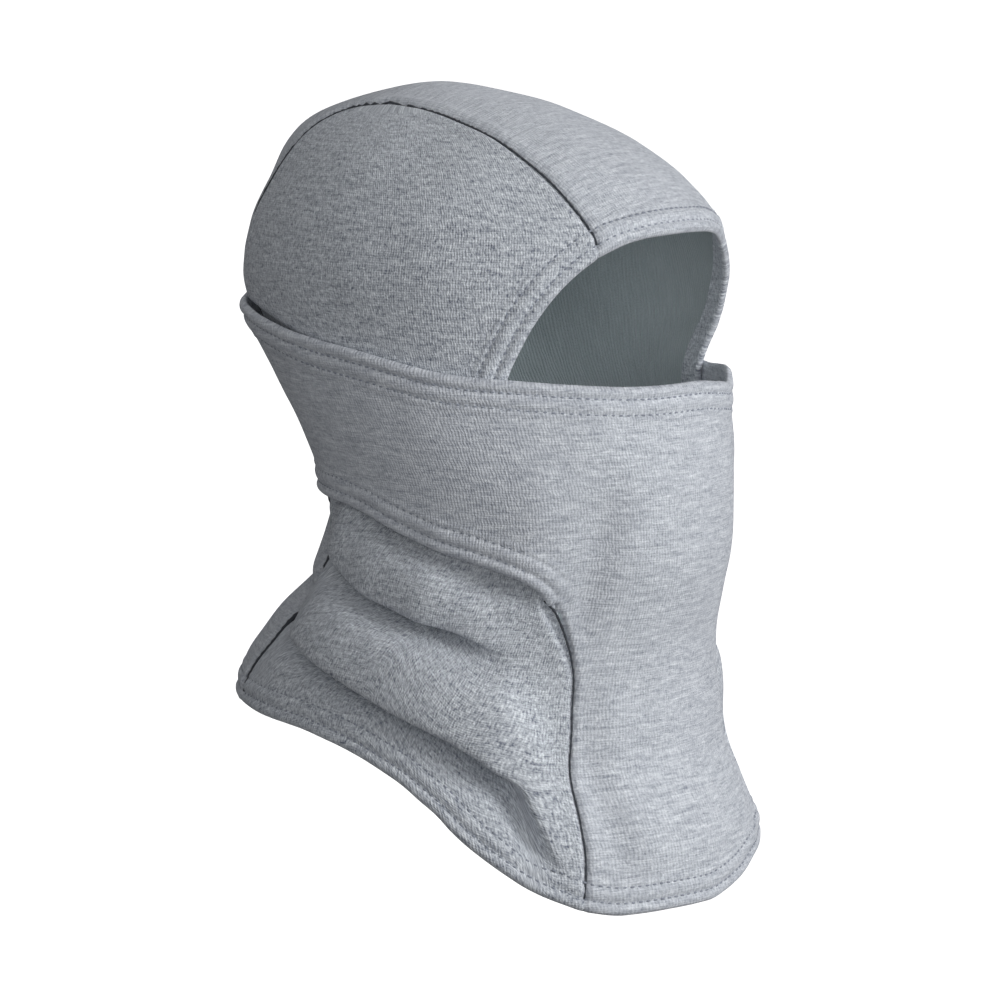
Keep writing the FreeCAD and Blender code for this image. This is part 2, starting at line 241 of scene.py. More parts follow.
def side_skin(sgn=1, nu=180, nv=256):
    s_ = np.linspace(0, 1, 801)
    dens = np.where(s_ < 0.46, 1.0, np.where(s_ < 0.88, 0.62, 0.62 + 0.9 * smooth(0.88, 1.0, s_)))
    cum = np.concatenate([[0], np.cumsum((dens[1:] + dens[:-1]) / 2)])
    v = np.interp(np.linspace(0, 1, nv + 1), cum / cum[-1], s_)
    u = graded(nu, 0.45)
    hem_here = lambda y, x=0: hem_z(y, x * sgn)
    z_f0 = settle(np.array([phi_of_x(59.5, 3.0)]), hem_here, 5)[0]
    zF = z_f0 + (TIP_Z - z_f0) * v
    e = smooth(CORNER_Z, CORNER_Z + 18, zF)
    xF = np.where(zF < 248.7, (1 - e) * curve(BIB, np.minimum(zF, CORNER_Z)) + e * curve(FACE, zF), curve(STRIP_F, zF))
    wt = 1 - smooth(CORNER_Z, CORNER_Z + 14, zF)
    phF = wt * phi_of_x(xF, zF, "tee") + (1 - wt) * phi_of_x(xF, zF)
    phB0 = np.pi - phi_of_x(65, 65.0)
    z_b0 = float(hem_z(on_form(phB0, 65.0)[1]))
    zB = z_b0 + (TIP_Z - z_b0) * v
    phB = np.pi - phi_of_x(curve(STRIP_R, zB), zB)
    phF[-1] = phB[-1] = np.pi / 2
    ph0 = phF[0] + (phB[0] - phF[0]) * u
    z0 = settle(ph0, hem_here, 40)
    z0[0], z0[-1] = zF[0], zB[0]
    U, V = np.meshgrid(u, v)
    fade = (1 - V)
    ph = (1 - U) * phF[:, None] + U * phB[:, None]
    zz = (1 - U) * zF[:, None] + U * zB[:, None] + fade ** 1.6 * (z0[None, :] - ((1 - U) * zF[0] + U * zB[0]))
    P = on_form(ph, zz)
    flat = P.reshape(-1, 3)
    girth = np.sqrt(np.interp(zz, _Z, _A2) * np.interp(zz, _Z, _B2)) / 79.0
    uu = (turn_length(flat).reshape(zz.shape) - np.interp(np.pi / 2, _tp, _tl)) * np.clip(girth, 0.45, 1.3)
    vv = np.interp(zz, _vz, _vlen)
    P, Q, UV = weld(P.reshape(-1, 3), grid_quads(nv + 1, nu + 1), np.stack([uu, vv], -1).reshape(-1, 2))
    return Skin(P, Q, UV, weld.inv.reshape(nv + 1, nu + 1), weld.first)


# --- crown strip ---------------------------------------------------------------
def inside(x, y, z):
    a, b, c = dims(z)
    g = np.abs(x / a) ** NEXP + np.abs((y - c) / b) ** NEXP - 1
    return np.where(z > 310.99, 1.0, g) < 0


def shoot(x, beta):
    """Point of the dome at half width x seen from the axis at angle beta."""
    lo, hi = np.zeros_like(x), np.full_like(x, 150.0)
    for _ in range(44):
        m = (lo + hi) / 2
        ok = inside(x, 10 - m * np.cos(beta), 236 + m * np.sin(beta))
        lo, hi = np.where(ok, m, lo), np.where(ok, hi, m)
    r = (lo + hi) / 2
    return np.stack([x, 10 - r * np.cos(beta), 236 + r * np.sin(beta)], -1)


def strip_skin(nu=96, nd=210, nb=150):
    t = graded(nu, 0.4) * 2 - 1
    rows = []

    def brow_beta(x):
        z = brow_z(x)
        p = on_form(phi_of_x(x, z), z)
        return np.arctan2(z - 236, 10 - p[..., 1])

    v = graded(nd, 0.5, 1.0, both=False)
    for vi in v:
        w = 41.5
        for _ in range(12):
            x = np.array([w])
            bb = brow_beta(x)
            bt = bb + (np.pi - bb) * vi
            p = shoot(x, bt)[0]
            front = p[1] < 29
            w = 0.4 * w + 0.6 * float(curve(STRIP_F if front else STRIP_R, p[2]))
        x = t * w
        bb = brow_beta(x)
        rows.append(shoot(x, bb + (np.pi - bb) * vi))
    P1 = np.array(rows)
    rows = []
    vb = graded(nb, 0.35, 1.0, both=True)[1:]
    vb = 1 - (1 - vb)
    for vi in vb:
        zc = 236 + (65.0 - 236) * vi
        w = float(curve(STRIP_R, zc))
        x = t * w
        z = np.full_like(x, zc)
        ph = np.pi - phi_of_x(x, z)
        ph = np.where(x < 0, 2 * np.pi - ph, ph)
        zh = settle(ph, hem_z, 65)
        z = 236 + (zh - 236) * vi
        ph = np.pi - phi_of_x(x, z)
        ph = np.where(x < 0, 2 * np.pi - ph, ph)
        rows.append(on_form(ph, z))
    P = np.concatenate([P1, np.array(rows)], 0)
    # the meeting row at beta = pi is level; relax the rows round it
    for _ in range(30):
        k = nd
        P[k - 6:k + 7] = 0.5 * P[k - 6:k + 7] + 0.25 * (P[k - 7:k + 6] + P[k - 5:k + 8])
    run = arc(P, 1)
    uu = run - run[:, nu // 2][:, None]
    vv = np.broadcast_to(arc(P, 0)[:, nu // 2][:, None], uu.shape)
    nr, nc = P.shape[:2]
    return Skin(P.reshape(-1, 3), grid_quads(nr, nc)[:, ::-1], np.stack([uu, vv], -1).reshape(-1, 2))


# --- tee panel: bib, mask, wings and nape loop in one cloth -----------------------
def tee_skin(nb=84, nw=150, nrear=84, nvb=120, nvm=82):
    phs = float(phi_of_x(curve(BIB, CORNER_Z), CORNER_Z, "tee"))
    t = graded(nb, 0.45) * 2 - 1
    vb = graded(nvb, 0.4, 1.0, both=False)
    rows, uvs = [], []
    zlo = settle(t * phi_of_x(59.5, 2.0, "tee"), hem_z, 1, "tee")
    for vi in vb:
        z = zlo + (CORNER_Z - zlo) * vi
        ph = np.sign(t) * np.abs(t) * phi_of_x(curve(BIB, z), z, "tee")
        rows.append(on_form(ph, z, "tee"))
    Pb = np.array(rows)
    # ring of columns right round the head
    side_phi = phs + (np.pi - phs) * np.concatenate([
        0.72 * graded(nw, 0.25, 1.0, both=False), 0.72 + 0.28 * np.linspace(0, 1, nrear // 2 + 1)[1:]])
    ring = np.concatenate([t * phs, side_phi[1:], -side_phi[1:-1][::-1]])
    zt = settle(ring, band_top_z, 205, "tee")

    zl = np.where(np.abs(ring) <= phs + 1e-9, CORNER_Z, settle(ring, band_low_z, 145, "tee"))
    vm = graded(nvm, 0.4, 1.0, both=True)
    Pm = np.array([on_form(ring, zl + (zt - zl) * vi, "tee") for vi in vm])
    nc = len(ring)
    P = np.concatenate([Pb.reshape(-1, 3), Pm.reshape(-1, 3)])
    Q = np.concatenate([grid_quads(nvb + 1, nb + 1), grid_quads(nvm + 1, nc, wrap=True) + Pb.shape[0] * Pb.shape[1]])
    UV = np.stack([turn_length(P), P[:, 2]], -1)
    P, Q, UV = weld(P, Q, UV)
    return Skin(P, Q, UV)


def normals(P, Q):
    a, b, c, d = (P[Q[:, k]] for k in range(4))
    n = np.cross(c - a, d - b)
    N = np.zeros_like(P)
    for k in range(4):
        np.add.at(N, Q[:, k], n)
    return N / np.maximum(np.linalg.norm(N, axis=1, keepdims=True), 1e-12)


def edge_distance(P, line, step=1.0):
    """Distance of every point to a line through 3-D points, and the running length there."""
    seg = np.linalg.norm(np.diff(line, axis=0), axis=1)
    s = np.concatenate([[0], np.cumsum(seg)])
    n = max(int(s[-1] / step), 2)
    ss = np.linspace(0, s[-1], n)
    L = np.stack([np.interp(ss, s, line[:, k]) for k in range(3)], -1)
    kd = kdtree.KDTree(n)
    for i, p in enumerate(L):
        kd.insert(p, i)
    kd.balance()
    near = np.array([kd.find(p)[1] for p in P])
    best = np.full(len(P), 1e9)
    where = np.zeros(len(P))
    for a in (np.clip(near - 1, 0, n - 2), np.clip(near, 0, n - 2)):
        A, B = L[a], L[a + 1]
        AB = B - A
        t = np.clip(((P - A) * AB).sum(1) / np.maximum((AB * AB).sum(1), 1e-12), 0, 1)
        d = np.linalg.norm(P - A - t[:, None] * AB, axis=1)
        better = d < best
        best = np.where(better, d, best)
        where = np.where(better, ss[a] + t * (ss[a + 1] - ss[a]), where)
    return best, where


# ------------------------------------------------------------- edge lines, 3-D
def line_face(side=1):
    z = np.linspace(CORNER_Z, 248.7, 140)
    p = on_form(phi_of_x(curve(FACE, z), z), z)
    p[:, 0] *= side
    return p


def line_brow():
    x = np.linspace(-41.5, 41.5, 120)
    z = brow_z(x)
    p = on_form(phi_of_x(x, z), z)
    p[:, 0] = x
    return p


def line_opening():
    r, l = line_face(-1), line_face(1)
    return np.concatenate([r, line_brow()[1:-1], l[::-1]])


def line_hem():
    """Right round the lower hem, starting at the nape."""
    ph = np.linspace(-np.pi, np.pi, 700)
    z = settle(ph, hem_z, 30)
    return on_form(ph, z)


def line_strip(side=1):
    zf = np.linspace(248.7, TIP_Z, 90)
    f = on_form(phi_of_x(curve(STRIP_F, zf), zf), zf)
    zr = np.linspace(TIP_Z, 65.0, 240)
    r = on_form(np.pi - phi_of_x(curve(STRIP_R, zr), zr), zr)
    p = np.concatenate([f, r[1:]])
    p[:, 0] *= side
    return p


def line_bib(side=1, kind="tee"):
    x0 = settle(np.array([phi_of_x(59.5, 3.0)]), lambda y, x: hem_z(y, x * side), 5)[0]
    z = np.linspace(x0, CORNER_Z, 120)
    p = on_form(phi_of_x(curve(BIB, z), z, kind), z, kind)
    p[:, 0] *= side
    return p


def line_band_top():
    ph = np.linspace(-np.pi, np.pi, 600)
    z = settle(ph, band_top_z, 205, "tee")
    return on_form(ph, z, "tee")


def line_band_low():
    """Wing hem from the right seam corner round the nape to the left one."""
    phs = float(phi_of_x(curve(BIB, CORNER_Z), CORNER_Z, "tee"))
    ph = np.concatenate([[phs], np.linspace(phs + 0.004, 2 * np.pi - phs - 0.004, 900), [2 * np.pi - phs]])
    z = settle(ph, band_low_z, 145, "tee")
    return on_form(ph, z, "tee")


OPENING, HEM_LINE = line_opening(), line_hem()
STRIP_L, STRIP_Rt = line_strip(1), line_strip(-1)
BIB_L, BIB_R = line_bib(1), line_bib(-1)
TOP_LINE, LOW_LINE = line_band_top(), line_band_low()

# ----------------------------------------------------------------- soft shapes
FOLD1 = np.array([(60, 136), (47, 132), (36.6, 126.4), (27, 120.7), (14, 117), (-5, 112), (-17.4, 108.8),
                  (-29.7, 105), (-44, 99)], float)
FOLD2 = np.array([(75, 108), (56, 98.8), (48.5, 91.3), (28, 83.4), (12, 78.2), (-8.4, 70.4), (-26, 62.6),
                  (-37, 56), (-46.6, 48.4), (-56, 39.4), (-65, 30), (-75, 20), (-84, 11)], float)


def lattice_noise(P, scale, seed=0):
    """Smooth value noise in 3-D, -1..1."""
    r = np.random.default_rng(seed)
    tab = r.uniform(-1, 1, 4096)
    q = P / scale + 37.3
    i = np.floor(q).astype(int)
    f = q - i
    f = f * f * (3 - 2 * f)
    out = 0
    for dx in (0, 1):
        for dy in (0, 1):
            for dz in (0, 1):
                h = ((i[:, 0] + dx) * 73856093 ^ (i[:, 1] + dy) * 19349663 ^ (i[:, 2] + dz) * 83492791) % 4096
                w = (f[:, 0] if dx else 1 - f[:, 0]) * (f[:, 1] if dy else 1 - f[:, 1]) * (f[:, 2] if dz else 1 - f[:, 2])
                out = out + w * tab[h]
    return out


def from_bib(P):
    """Sideways distance from the bib seam, for points in front."""
    w = curve(BIB, np.clip(P[:, 2], -30, CORNER_Z))
    return np.where(P[:, 1] < 0, np.maximum(np.abs(P[:, 0]) - w, 0), 99.0)


def fold_field(P, N):
    """Neck folds: outward rolls that hang over a crease below, the same on every hood piece."""
    x, y, z = P[:, 0], P[:, 1], P[:, 2]
    left = smooth(-30, 30, x)
    calm = smooth(0, 17, from_bib(P))
    half = strip_half(np.clip(z, -30, 300))
    nape = 1 - 0.86 * smooth(25, 40, y) * (1 - smooth(half - 3, half + 9, np.abs(x)))
    D = np.zeros_like(P)
    for line, a0, wid, rise, fade, rear in (
            (FOLD1, 9.6, 7.4, lambda yy: 13.0 * smooth(-62, -10, yy) + 3.0 * smooth(0, 26, yy), lambda yy: smooth(-58, -16, yy), 0.62),
            (FOLD2, 10.4, 8.6, lambda yy: 16.0 * smooth(-92, -50, yy), lambda yy: smooth(-92, -50, yy), 0.62)):
        order = np.argsort(line[:, 0])
        ly, lz = line[order, 0], line[order, 1]
        ys = y + left * 5
        zl = pchip(ly, lz, ys) + left * 3
        slope = (pchip(ly, lz, ys + 1) - pchip(ly, lz, ys - 1)) / 2
        q = np.sqrt(1 + slope ** 2)
        A = a0 * fade(ys) * (1 - 0.18 * left) * calm * nape * smooth(-1, 17, z - hem_z(y, x))
        t = (z - zl) / q - rise(ys)
        hollow = bump(t, -4.6, np.where(t > -4.6, 3.6, 10.0))
        clear = smooth(-4, 10, curve(BAND_LOW, np.maximum(y, -65)) - z)
        out = A * ((1 - rear * smooth(22, 56, y)) * bump(t, 6.6, wid) * clear - 1.34 * hollow)
        down = A * 1.5 * bump(t, 2.4, 4.6)
        D += N * out[:, None]
        # hang: the lower flank of the roll slides down the panel
        tan = np.stack([np.zeros_like(y), slope / q, -1 / q], -1)
        tan -= N * (tan * N).sum(1, keepdims=True)
        D += tan * down[:, None]
    return D


def seat_seam(P, N):
    """The side panel's front edge rises to the level of the bib it is sewn to."""
    z = P[:, 2]
    near = np.exp(-from_bib(P) / (7.0 - 3.8 * smooth(92, 115, z))) * (1 - smooth(CORNER_Z, CORNER_Z + 7, z))
    lift = np.interp(z, _Z, _T) - np.interp(z, _Z, _H)
    return N * (lift * near)[:, None] + mask_shape(P, N) * near[:, None]


def tuck(P, N):
    """The hood shrinks back under the mask's free edges, so that these stand off it."""
    y, z = P[:, 1], P[:, 2]
    s = curve(BAND_LOW, np.maximum(y, -65)) - z
    a = (3.4 + 3.8 * bump(y, -46, 13) + 2.6 * bump(y, 4, 20)) * smooth(44, 8, y) * (1 - smooth(-55, -63.5, y)) * (1 - smooth(3, 16, s)) * smooth(-14, -4, s)
    t = curve(BAND_TOP, y) - z
    b = 3.0 * smooth(28, 66, y) * smooth(-3.0, 3.0, t) * (1 - smooth(16, 34, t))
    return -N * (a + b)[:, None]


def spread(P):
    """The hood's left cheek and the mask over it stand forward, away from the face."""
    x, y, z = P[:, 0], P[:, 1], P[:, 2]
    prof = np.interp(z, [172, 186, 196, 206, 214, 221, 227, 234, 241, 248, 258], [0, 0.3, 1.2, 3.2, 4.7, 5.3, 5.0, 4.2, 2.6, 1.0, 0])
    w = smooth(20, 44, x) * (1 - smooth(-34, 12, y))
    d = prof * w
    return np.stack([0.70 * d, -0.71 * d, np.zeros_like(d)], -1)


def mask_shape(P, N):
    """Soft pull of the mask into the seam corners, and slack in the bib."""
    x, y, z = P[:, 0], P[:, 1], P[:, 2]
    ax = np.abs(x)
    face = smooth(-20, -45, y)
    dent = -4.2 * bump(ax, 48 - 0.12 * (z - 120), 7.0) * smooth(96, 120, z) * (1 - smooth(136, 176, z))
    swell = 1.8 * bump(ax, 62, 6.5) * smooth(114, 130, z) * (1 - smooth(150, 190, z))
    slack = (-1.3 * bump(ax, 46, 5.0) + 0.9 * bump(ax, 34, 7.0)) * (1 - smooth(70, 100, z)) * smooth(8, 26, z)
    back = 0.9 * smooth(30, 75, y) * smooth(206, 222, z)
    return N * (face * (dent + swell + slack) + back)[:, None]


def cloth_waves(P, N, amount=1.0):
    s = (0.9 * lattice_noise(P, 46, 3) + 0.45 * lattice_noise(P, 21, 5) + 0.10 * lattice_noise(P, 8, 9)) * amount
    return N * s[:, None]


def free_edge(d, along, thick, seed=0):
    """Outer and inner offsets of a folded hem of two needle rows at distance d."""
    fold = 1 - smooth(11.3, 13.2, d)
    lip = 1 - np.sqrt(np.clip(1 - (1 - np.clip(d / 1.7, 0, 1)) ** 2, 0, 1))
    pucker = 0.5 + 0.5 * np.sin(along * (2 * np.pi / 3.3))
    rows_ = bump(d, 4.5, 0.95) + bump(d, 10.5, 0.95)
    pillow = 0.35 * bump(d, 7.5, 1.9) + 0.30 * bump(d, 2.4, 1.2)
    o = 0.70 * fold + pillow - 1.55 * lip - (0.55 + 0.45 * pucker) * rows_
    i = -0.95 * fold + 0.75 * lip
    return o, i


def seam_pull(P):
    """How strongly the seams are pulled in: low at the nape, at the wing's corner and behind the crown."""
    y, z = P[:, 1], P[:, 2]
    low = smooth(30, 50, y) * (1 - smooth(120, 150, z))
    corner = (y < 0) * smooth(84, 114, z) * (1 - smooth(124, 140, z))
    crown = smooth(0, 45, y) * smooth(236, 270, z)
    return low, corner, crown


def seam_edge(d, P, is_strip):
    low, corner, crown = seam_pull(P)
    deep = 1 + 0.25 * low + 1.2 * corner + 0.6 * crown
    o = -1.35 * deep * bump(d, 0, 1.0 + 0.35 * (deep - 1))
    if is_strip:
        o += 0.55 * bump(d, 4.6, 2.4) - 0.9 * low * bump(d, 1.5, 1.7) - 1.0 * crown * bump(d, 1.5, 1.6)
    else:
        o += 0.35 * np.sqrt(deep) * bump(d, 4.0, 2.5) + 0.30 * (1 - low) * bump(d, 2.1, 1.2)
    return o, np.zeros_like(d)


def shell(P, Q, outer, inner, name, uv):
    """Closed mesh between two skins of the same layout, with a rounded rim."""
    n = len(P)
    same = np.stack([Q[:, k] == Q[:, (k + 1) % 4] for k in range(4)], 1)
    quads = Q[~same.any(1)]
    tris = []
    for q in Q[same.any(1)]:
        u = list(dict.fromkeys(q.tolist()))
        if len(u) == 3:
            tris.append(u)
    tris = np.array(tris, int).reshape(-1, 3)
    e = np.concatenate([quads[:, [k, (k + 1) % 4]] for k in range(4)] + [tris[:, [k, (k + 1) % 3]] for k in range(3)])
    fwd = e[:, 0].astype(np.int64) * n + e[:, 1]
    rev = e[:, 1].astype(np.int64) * n + e[:, 0]
    rim = e[~np.isin(fwd, rev)]
    rv = np.unique(rim)
    back = np.full(n, -1)
    back[rv] = 2 * n + np.arange(len(rv))
    # the middle of the rim stands a little past the edge
    out_dir = np.zeros((n, 3))
    nn = np.cross(P[rim[:, 1]] - P[rim[:, 0]], outer[rim[:, 0]] - inner[rim[:, 0]])
    nn /= np.maximum(np.linalg.norm(nn, axis=1, keepdims=True), 1e-9)
    np.add.at(out_dir, rim[:, 0], nn)
    np.add.at(out_dir, rim[:, 1], nn)
    od = out_dir[rv]
    od /= np.maximum(np.linalg.norm(od, axis=1, keepdims=True), 1e-9)
    gap = np.linalg.norm(outer[rv] - inner[rv], axis=1, keepdims=True)
    mid = (outer[rv] + inner[rv]) / 2 + od * gap * 0.28
    V = np.concatenate([outer, inner, mid])
    a, b = rim[:, 0], rim[:, 1]
    Q4 = np.concatenate([quads, quads[:, ::-1] + n, np.stack([b, a, back[a], back[b]], 1),
                         np.stack([back[b], back[a], a + n, b + n], 1)])
    Q3 = np.concatenate([tris, tris[:, ::-1] + n])
    loops = np.concatenate([Q4.ravel(), Q3.ravel()]).astype(np.int32)
    starts = np.concatenate([np.arange(len(Q4)) * 4, len(Q4) * 4 + np.arange(len(Q3)) * 3]).astype(np.int32)
    me = bpy.data.meshes.new(name)
    me.vertices.add(len(V))
    me.vertices.foreach_set("co", (V * MM).astype(np.float32).ravel())
    me.loops.add(len(loops))
    me.loops.foreach_set("vertex_index", loops)
    me.polygons.add(len(starts))
    me.polygons.foreach_set("loop_start", starts)
    me.update(calc_edges=True)
    me.validate()
    layer = me.uv_layers.new(name="UVMap")
    uvv = np.concatenate([uv, uv, uv[rv]]) * 0.1
    idx = np.zeros(len(me.loops), np.int32)
    me.loops.foreach_get("vertex_index", idx)
    layer.data.foreach_set("uv", uvv[idx].astype(np.float32).ravel())
    me.shade_smooth()
    ob = bpy.data.objects.new(name, me)
    bpy.context.scene.collection.objects.link(ob)
    return ob


# ------------------------------------------------------------------ materials
def srgb(r, g, b):
    f = lambda c: c / 12.92 if c <= 0.04045 else ((c + 0.055) / 1.055) ** 2.4
    return tuple(f(c / 255) for c in (r, g, b)) + (1,)


class Tree:
    def __init__(self, name):
        self.mat = bpy.data.materials.new(name)
        self.mat.use_nodes = True
        self.t = self.mat.node_tree
        self.bsdf = self.t.nodes["Principled BSDF"]

    def add(self, kind, **props):
        n = self.t.nodes.new(kind)
        for k, v in props.items():
            setattr(n, k, v)
        return n

    def link(self, a, b):
        self.t.links.new(a, b)

    def value(self, sock, v):
        if hasattr(v, "is_output") or isinstance(v, bpy.types.NodeSocket):
            self.link(v, sock)
        else:
            sock.default_value = v

    def math(self, op, a, b=0.0, c=None):
        n = self.add("ShaderNodeMath", operation=op)
        self.value(n.inputs[0], a)
        self.value(n.inputs[1], b)
        if c is not None:
            self.value(n.inputs[2], c)
        return n.outputs[0]

    def noise(self, vec, scale, detail=2.0, rough=0.5, dist=0.0):
        n = self.add("ShaderNodeTexNoise")
        self.link(vec, n.inputs["Vector"])
        n.inputs["Scale"].default_value = scale
        n.inputs["Detail"].default_value = detail
        n.inputs["Roughness"].default_value = rough
        n.inputs["Distortion"].default_value = dist
        return n.outputs["Fac"]

    def scaled(self, vec, s, rot=0.0):
        n = self.add("ShaderNodeMapping")
        self.link(vec, n.inputs["Vector"])
        n.inputs["Scale"].default_value = s
        n.inputs["Rotation"].default_value = (0, 0, rot)
        return n.outputs[0]

    def ramp(self, fac, stops):
        n = self.add("ShaderNodeValToRGB")
        self.link(fac, n.inputs[0])
        e = n.color_ramp.elements
        while len(e) < len(stops):
            e.new(0.5)
        for k, (p, c) in enumerate(stops):
            e[k].position = p
            e[k].color = c
        return n.outputs[0]

    def mix(self, fac, a, b, blend="MIX"):
        n = self.add("ShaderNodeMix", data_type="RGBA", blend_type=blend)
        self.value(n.inputs[0], fac)
        self.value(n.inputs[6], a)
        self.value(n.inputs[7], b)
        return n.outputs[2]


def knit_material(name, light, dark, streak=0.5, speckle=0.5, rib=0.5):
    """Heather knit.  Cloth coordinates are in centimetres."""
    T = Tree(name)
    uv = T.add("ShaderNodeUVMap", uv_map="UVMap").outputs[0]
    warp = T.noise(uv, 0.9, 2.0)
    wob = T.add("ShaderNodeVectorMath", operation="ADD")
    off = T.add("ShaderNodeCombineXYZ")
    T.link(T.math("MULTIPLY", T.math("SUBTRACT", warp, 0.5), 0.20), off.inputs[1])
    T.link(uv, wob.inputs[0])
    T.link(off.outputs[0], wob.inputs[1])
    uvw = wob.outputs[0]
    # long pale and grey fibres along the courses
    s1 = T.noise(T.scaled(uvw, (0.75, 5.5, 1)), 1.0, 4.0, 0.62)
    s2 = T.noise(T.scaled(uvw, (2.4, 15.0, 1)), 1.0, 3.0, 0.6)
    # short slanting strokes of the plaited loops, and flecks of the melange yarn
    p1 = T.noise(T.scaled(uv, (10.5, 4.6, 1), 0.16), 1.0, 2.0, 0.55)
    p3 = T.noise(T.scaled(uv, (4.2, 6.0, 1)), 1.0, 2.0, 0.55)
    p2 = T.noise(T.scaled(uv, (17.0, 14.0, 1)), 1.0, 1.0, 0.5)
    tone = T.math("ADD", T.math("MULTIPLY", T.math("SUBTRACT", s1, 0.5), 1.3 * streak),
                  T.math("MULTIPLY", T.math("SUBTRACT", s2, 0.5), 1.1 * streak))
    tone = T.math("ADD", tone, T.math("MULTIPLY", T.math("SUBTRACT", p1, 0.5), 1.5 * speckle))
    tone = T.math("ADD", tone, T.math("MULTIPLY", T.math("SUBTRACT", p2, 0.5), 0.8 * speckle))
    tone = T.math("ADD", tone, T.math("MULTIPLY", T.math("SUBTRACT", p3, 0.5), 0.9 * speckle))
    # wales, 8.5 to the centimetre, broken up by the courses
    sep = T.add("ShaderNodeSeparateXYZ")
    T.link(uv, sep.inputs[0])
    jit = T.math("MULTIPLY", T.noise(T.scaled(uv, (1.2, 3.2, 1)), 1.0, 2.0), 0.16)
    wale = T.math("SINE", T.math("MULTIPLY", T.math("ADD", sep.outputs[0], jit), 2 * math.pi * 8.5))
    course = T.math("SINE", T.math("MULTIPLY", sep.outputs[1], 2 * math.pi * 11.0))
    knit = T.math("ADD", T.math("MULTIPLY", wale, 0.65), T.math("MULTIPLY", course, 0.35))
    tone = T.math("ADD", tone, T.math("MULTIPLY", knit, 0.055 * rib))
    fac = T.math("ADD", tone, 0.5)
    col = T.ramp(fac, [(0.08, dark), (0.5, tuple(0.5 * d + 0.5 * l for d, l in zip(dark, light))), (0.92, light)])
    T.link(col, T.bsdf.inputs["Base Color"])
    T.bsdf.inputs["Roughness"].default_value = 0.93
    T.bsdf.inputs["Specular IOR Level"].default_value = 0.2
    T.bsdf.inputs["Sheen Weight"].default_value = 0.35
    T.bsdf.inputs["Sheen Roughness"].default_value = 0.5
    T.bsdf.inputs["Sheen Tint"].default_value = (0.9, 0.93, 1, 1)
    height = T.math("ADD", T.math("MULTIPLY", knit, 0.30), T.math("MULTIPLY", p1, 1.1))
    height = T.math("ADD", height, T.math("MULTIPLY", p2, 0.7))
    bump_n = T.add("ShaderNodeBump")
    bump_n.inputs["Strength"].default_value = 0.55
    bump_n.inputs["Distance"].default_value = 0.0006
    T.link(height, bump_n.inputs["Height"])
    T.link(bump_n.outputs[0], T.bsdf.inputs["Normal"])
    return T.mat


def lining_material(name):
    T = Tree(name)
    uv = T.add("ShaderNodeUVMap", uv_map="UVMap").outputs[0]
    sep = T.add("ShaderNodeSeparateXYZ")
    T.link(uv, sep.inputs[0])
    jit = T.math("MULTIPLY", T.noise(T.scaled(uv, (1.0, 0.7, 1)), 1.0, 2.0), 0.35)
    wale = T.math("SINE", T.math("MULTIPLY", T.math("ADD", sep.outputs[0], jit), 2 * math.pi * 6.0))
    drag = T.noise(T.scaled(uv, (9.0, 0.9, 1)), 1.0, 3.0, 0.6)
    fuzz = T.noise(T.scaled(uv, (12.0, 10.0, 1)), 1.0, 3.0, 0.7)
    fac = T.math("ADD", T.math("ADD", T.math("MULTIPLY", drag, 0.55), T.math("MULTIPLY", fuzz, 0.45)),
                 T.math("MULTIPLY", wale, 0.025))
    # painted light: these greys are lighter than the dark grey-green fleece itself, so the inside of the hood reads as
    # lit
    col = T.ramp(fac, [(0.25, srgb(148, 159, 163)), (0.5, srgb(164, 175, 179)), (0.78, srgb(180, 191, 195))])
    T.link(col, T.bsdf.inputs["Base Color"])
    T.bsdf.inputs["Roughness"].default_value = 1.0
    T.bsdf.inputs["Specular IOR Level"].default_value = 0.1
    T.bsdf.inputs["Sheen Weight"].default_value = 0.4
    height = T.math("ADD", T.math("MULTIPLY", fuzz, 1.2), T.math("MULTIPLY", wale, 0.25))
    b = T.add("ShaderNodeBump")
    b.inputs["Strength"].default_value = 0.7
    b.inputs["Distance"].default_value = 0.0007
    T.link(height, b.inputs["Height"])
    T.link(b.outputs[0], T.bsdf.inputs["Normal"])
    return T.mat


def thread_material(name, c):
    T = Tree(name)
    geo = T.add("ShaderNodeTexCoord").outputs["Object"]
    n = T.noise(geo, 900.0, 2.0)
    col = T.ramp(n, [(0.3, tuple(x * 0.8 for x in c[:3]) + (1,)), (0.7, c)])
    T.link(col, T.bsdf.inputs["Base Color"])
    T.bsdf.inputs["Roughness"].default_value = 0.75
    T.bsdf.inputs["Sheen Weight"].default_value = 0.2
    b = T.add("ShaderNodeBump")
    b.inputs["Strength"].default_value = 0.4
    b.inputs["Distance"].default_value = 0.0002
    T.link(T.noise(geo, 2600.0, 1.0), b.inputs["Height"])
    T.link(b.outputs[0], T.bsdf.inputs["Normal"])
    return T.mat


LIGHT, DARK = srgb(205, 210, 219), srgb(112, 119, 132)
knit_side = knit_material("knit_side", srgb(245, 250, 255), srgb(98, 105, 122), streak=0.52, speckle=0.66, rib=1.3)
knit_front = knit_material("knit_front", srgb(246, 250, 255), srgb(110, 117, 133), streak=0.52, speckle=0.32, rib=0.7)
lining_mat = lining_material("brushed_lining")
# painted shade: the needle thread is the cloth's own colour; this darker grey stands in for the shade of the needle
# holes along each row
thread_mat = thread_material("needle_thread", srgb(146, 152, 164))
seam_mat = thread_material("seam_thread", srgb(58, 62, 70))


# ----------------------------------------------- how the cloth follows the mask
AX_Y, AX_Z = 40.0, 151.0


def follow(P, kind):
    """0 stays with the hood, 1 goes with the mask when it is pulled down."""
    x, y, z = P[:, 0], P[:, 1], P[:, 2]
    front = 1 - smooth(8, 62, y)
    edge = curve(BAND_LOW, np.maximum(y, -65))
    hz = hem_z(y, x) + 12
    low = np.clip((z - hz) / (156 - hz), 0, 1)
    if kind == "tee":
        wing = smooth(-60, -20, y) * (z >= edge - 1)
        return front * (low + (1 - low) * wing)
    return front * low * (1 - smooth(0, 52, z - edge))


